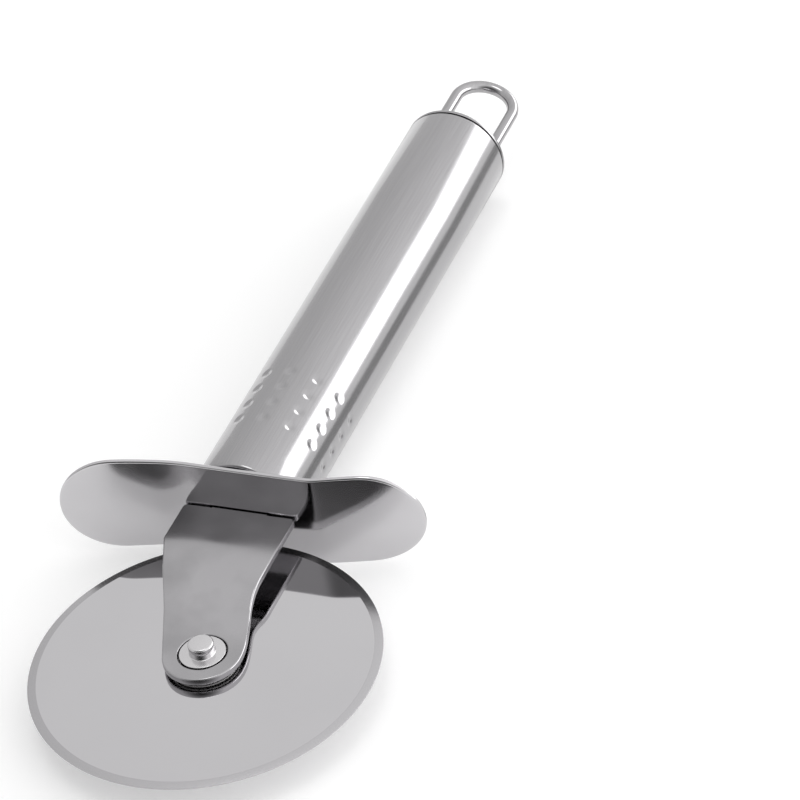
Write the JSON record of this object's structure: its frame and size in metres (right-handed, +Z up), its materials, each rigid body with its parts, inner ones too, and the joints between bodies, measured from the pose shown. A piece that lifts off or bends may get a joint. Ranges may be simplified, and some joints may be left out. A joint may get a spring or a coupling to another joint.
{
  "type": "pizza cutter",
  "caption": "Steel pizza cutter: a cutting wheel turning under a stamped arm, a finger guard with dished wings and a round tube handle with a wire hanging loop.",
  "frame": {"origin": "centre of the bounding box's underside, on the table that the tool lies on", "axes": "+Y along the handle from the wheel to the hanging loop, +X across the wings of the finger guard towards the side that the axle stands on, +Z up from the table; the tool lies tipped by 0.3 degrees, wheel end high"},
  "size_m": [0.0786, 0.2141, 0.0232],
  "materials": {
    "mirror_steel": "mirror polished",
    "satin_steel": "satin, brushed lengthwise",
    "bright_wire": "bright drawn",
    "turned_steel": "turned",
    "pale_nylon": "matte",
    "dark_nylon": "matte"
  },
  "bodies": {
    "handle": {"axle_pin": "turned_steel", "spacer_washer_upper": "pale_nylon", "spacer_washer_lower": "pale_nylon", "wheel_arm": "mirror_steel", "finger_guard": "mirror_steel", "handle_tube": "satin_steel", "handle_insert": "dark_nylon", "end_cap": "satin_steel", "hanging_loop": "bright_wire"},
    "wheel": {"cutting_wheel": "mirror_steel"}
  },
  "joints": [
    {"name": "wheel_spin", "type": "hinge", "parent": "handle", "child": "wheel", "pos_m": [0.00535, -0.07305, 0.00705], "axis": [0, 0.0051, 1], "continuous": true}
  ]
}
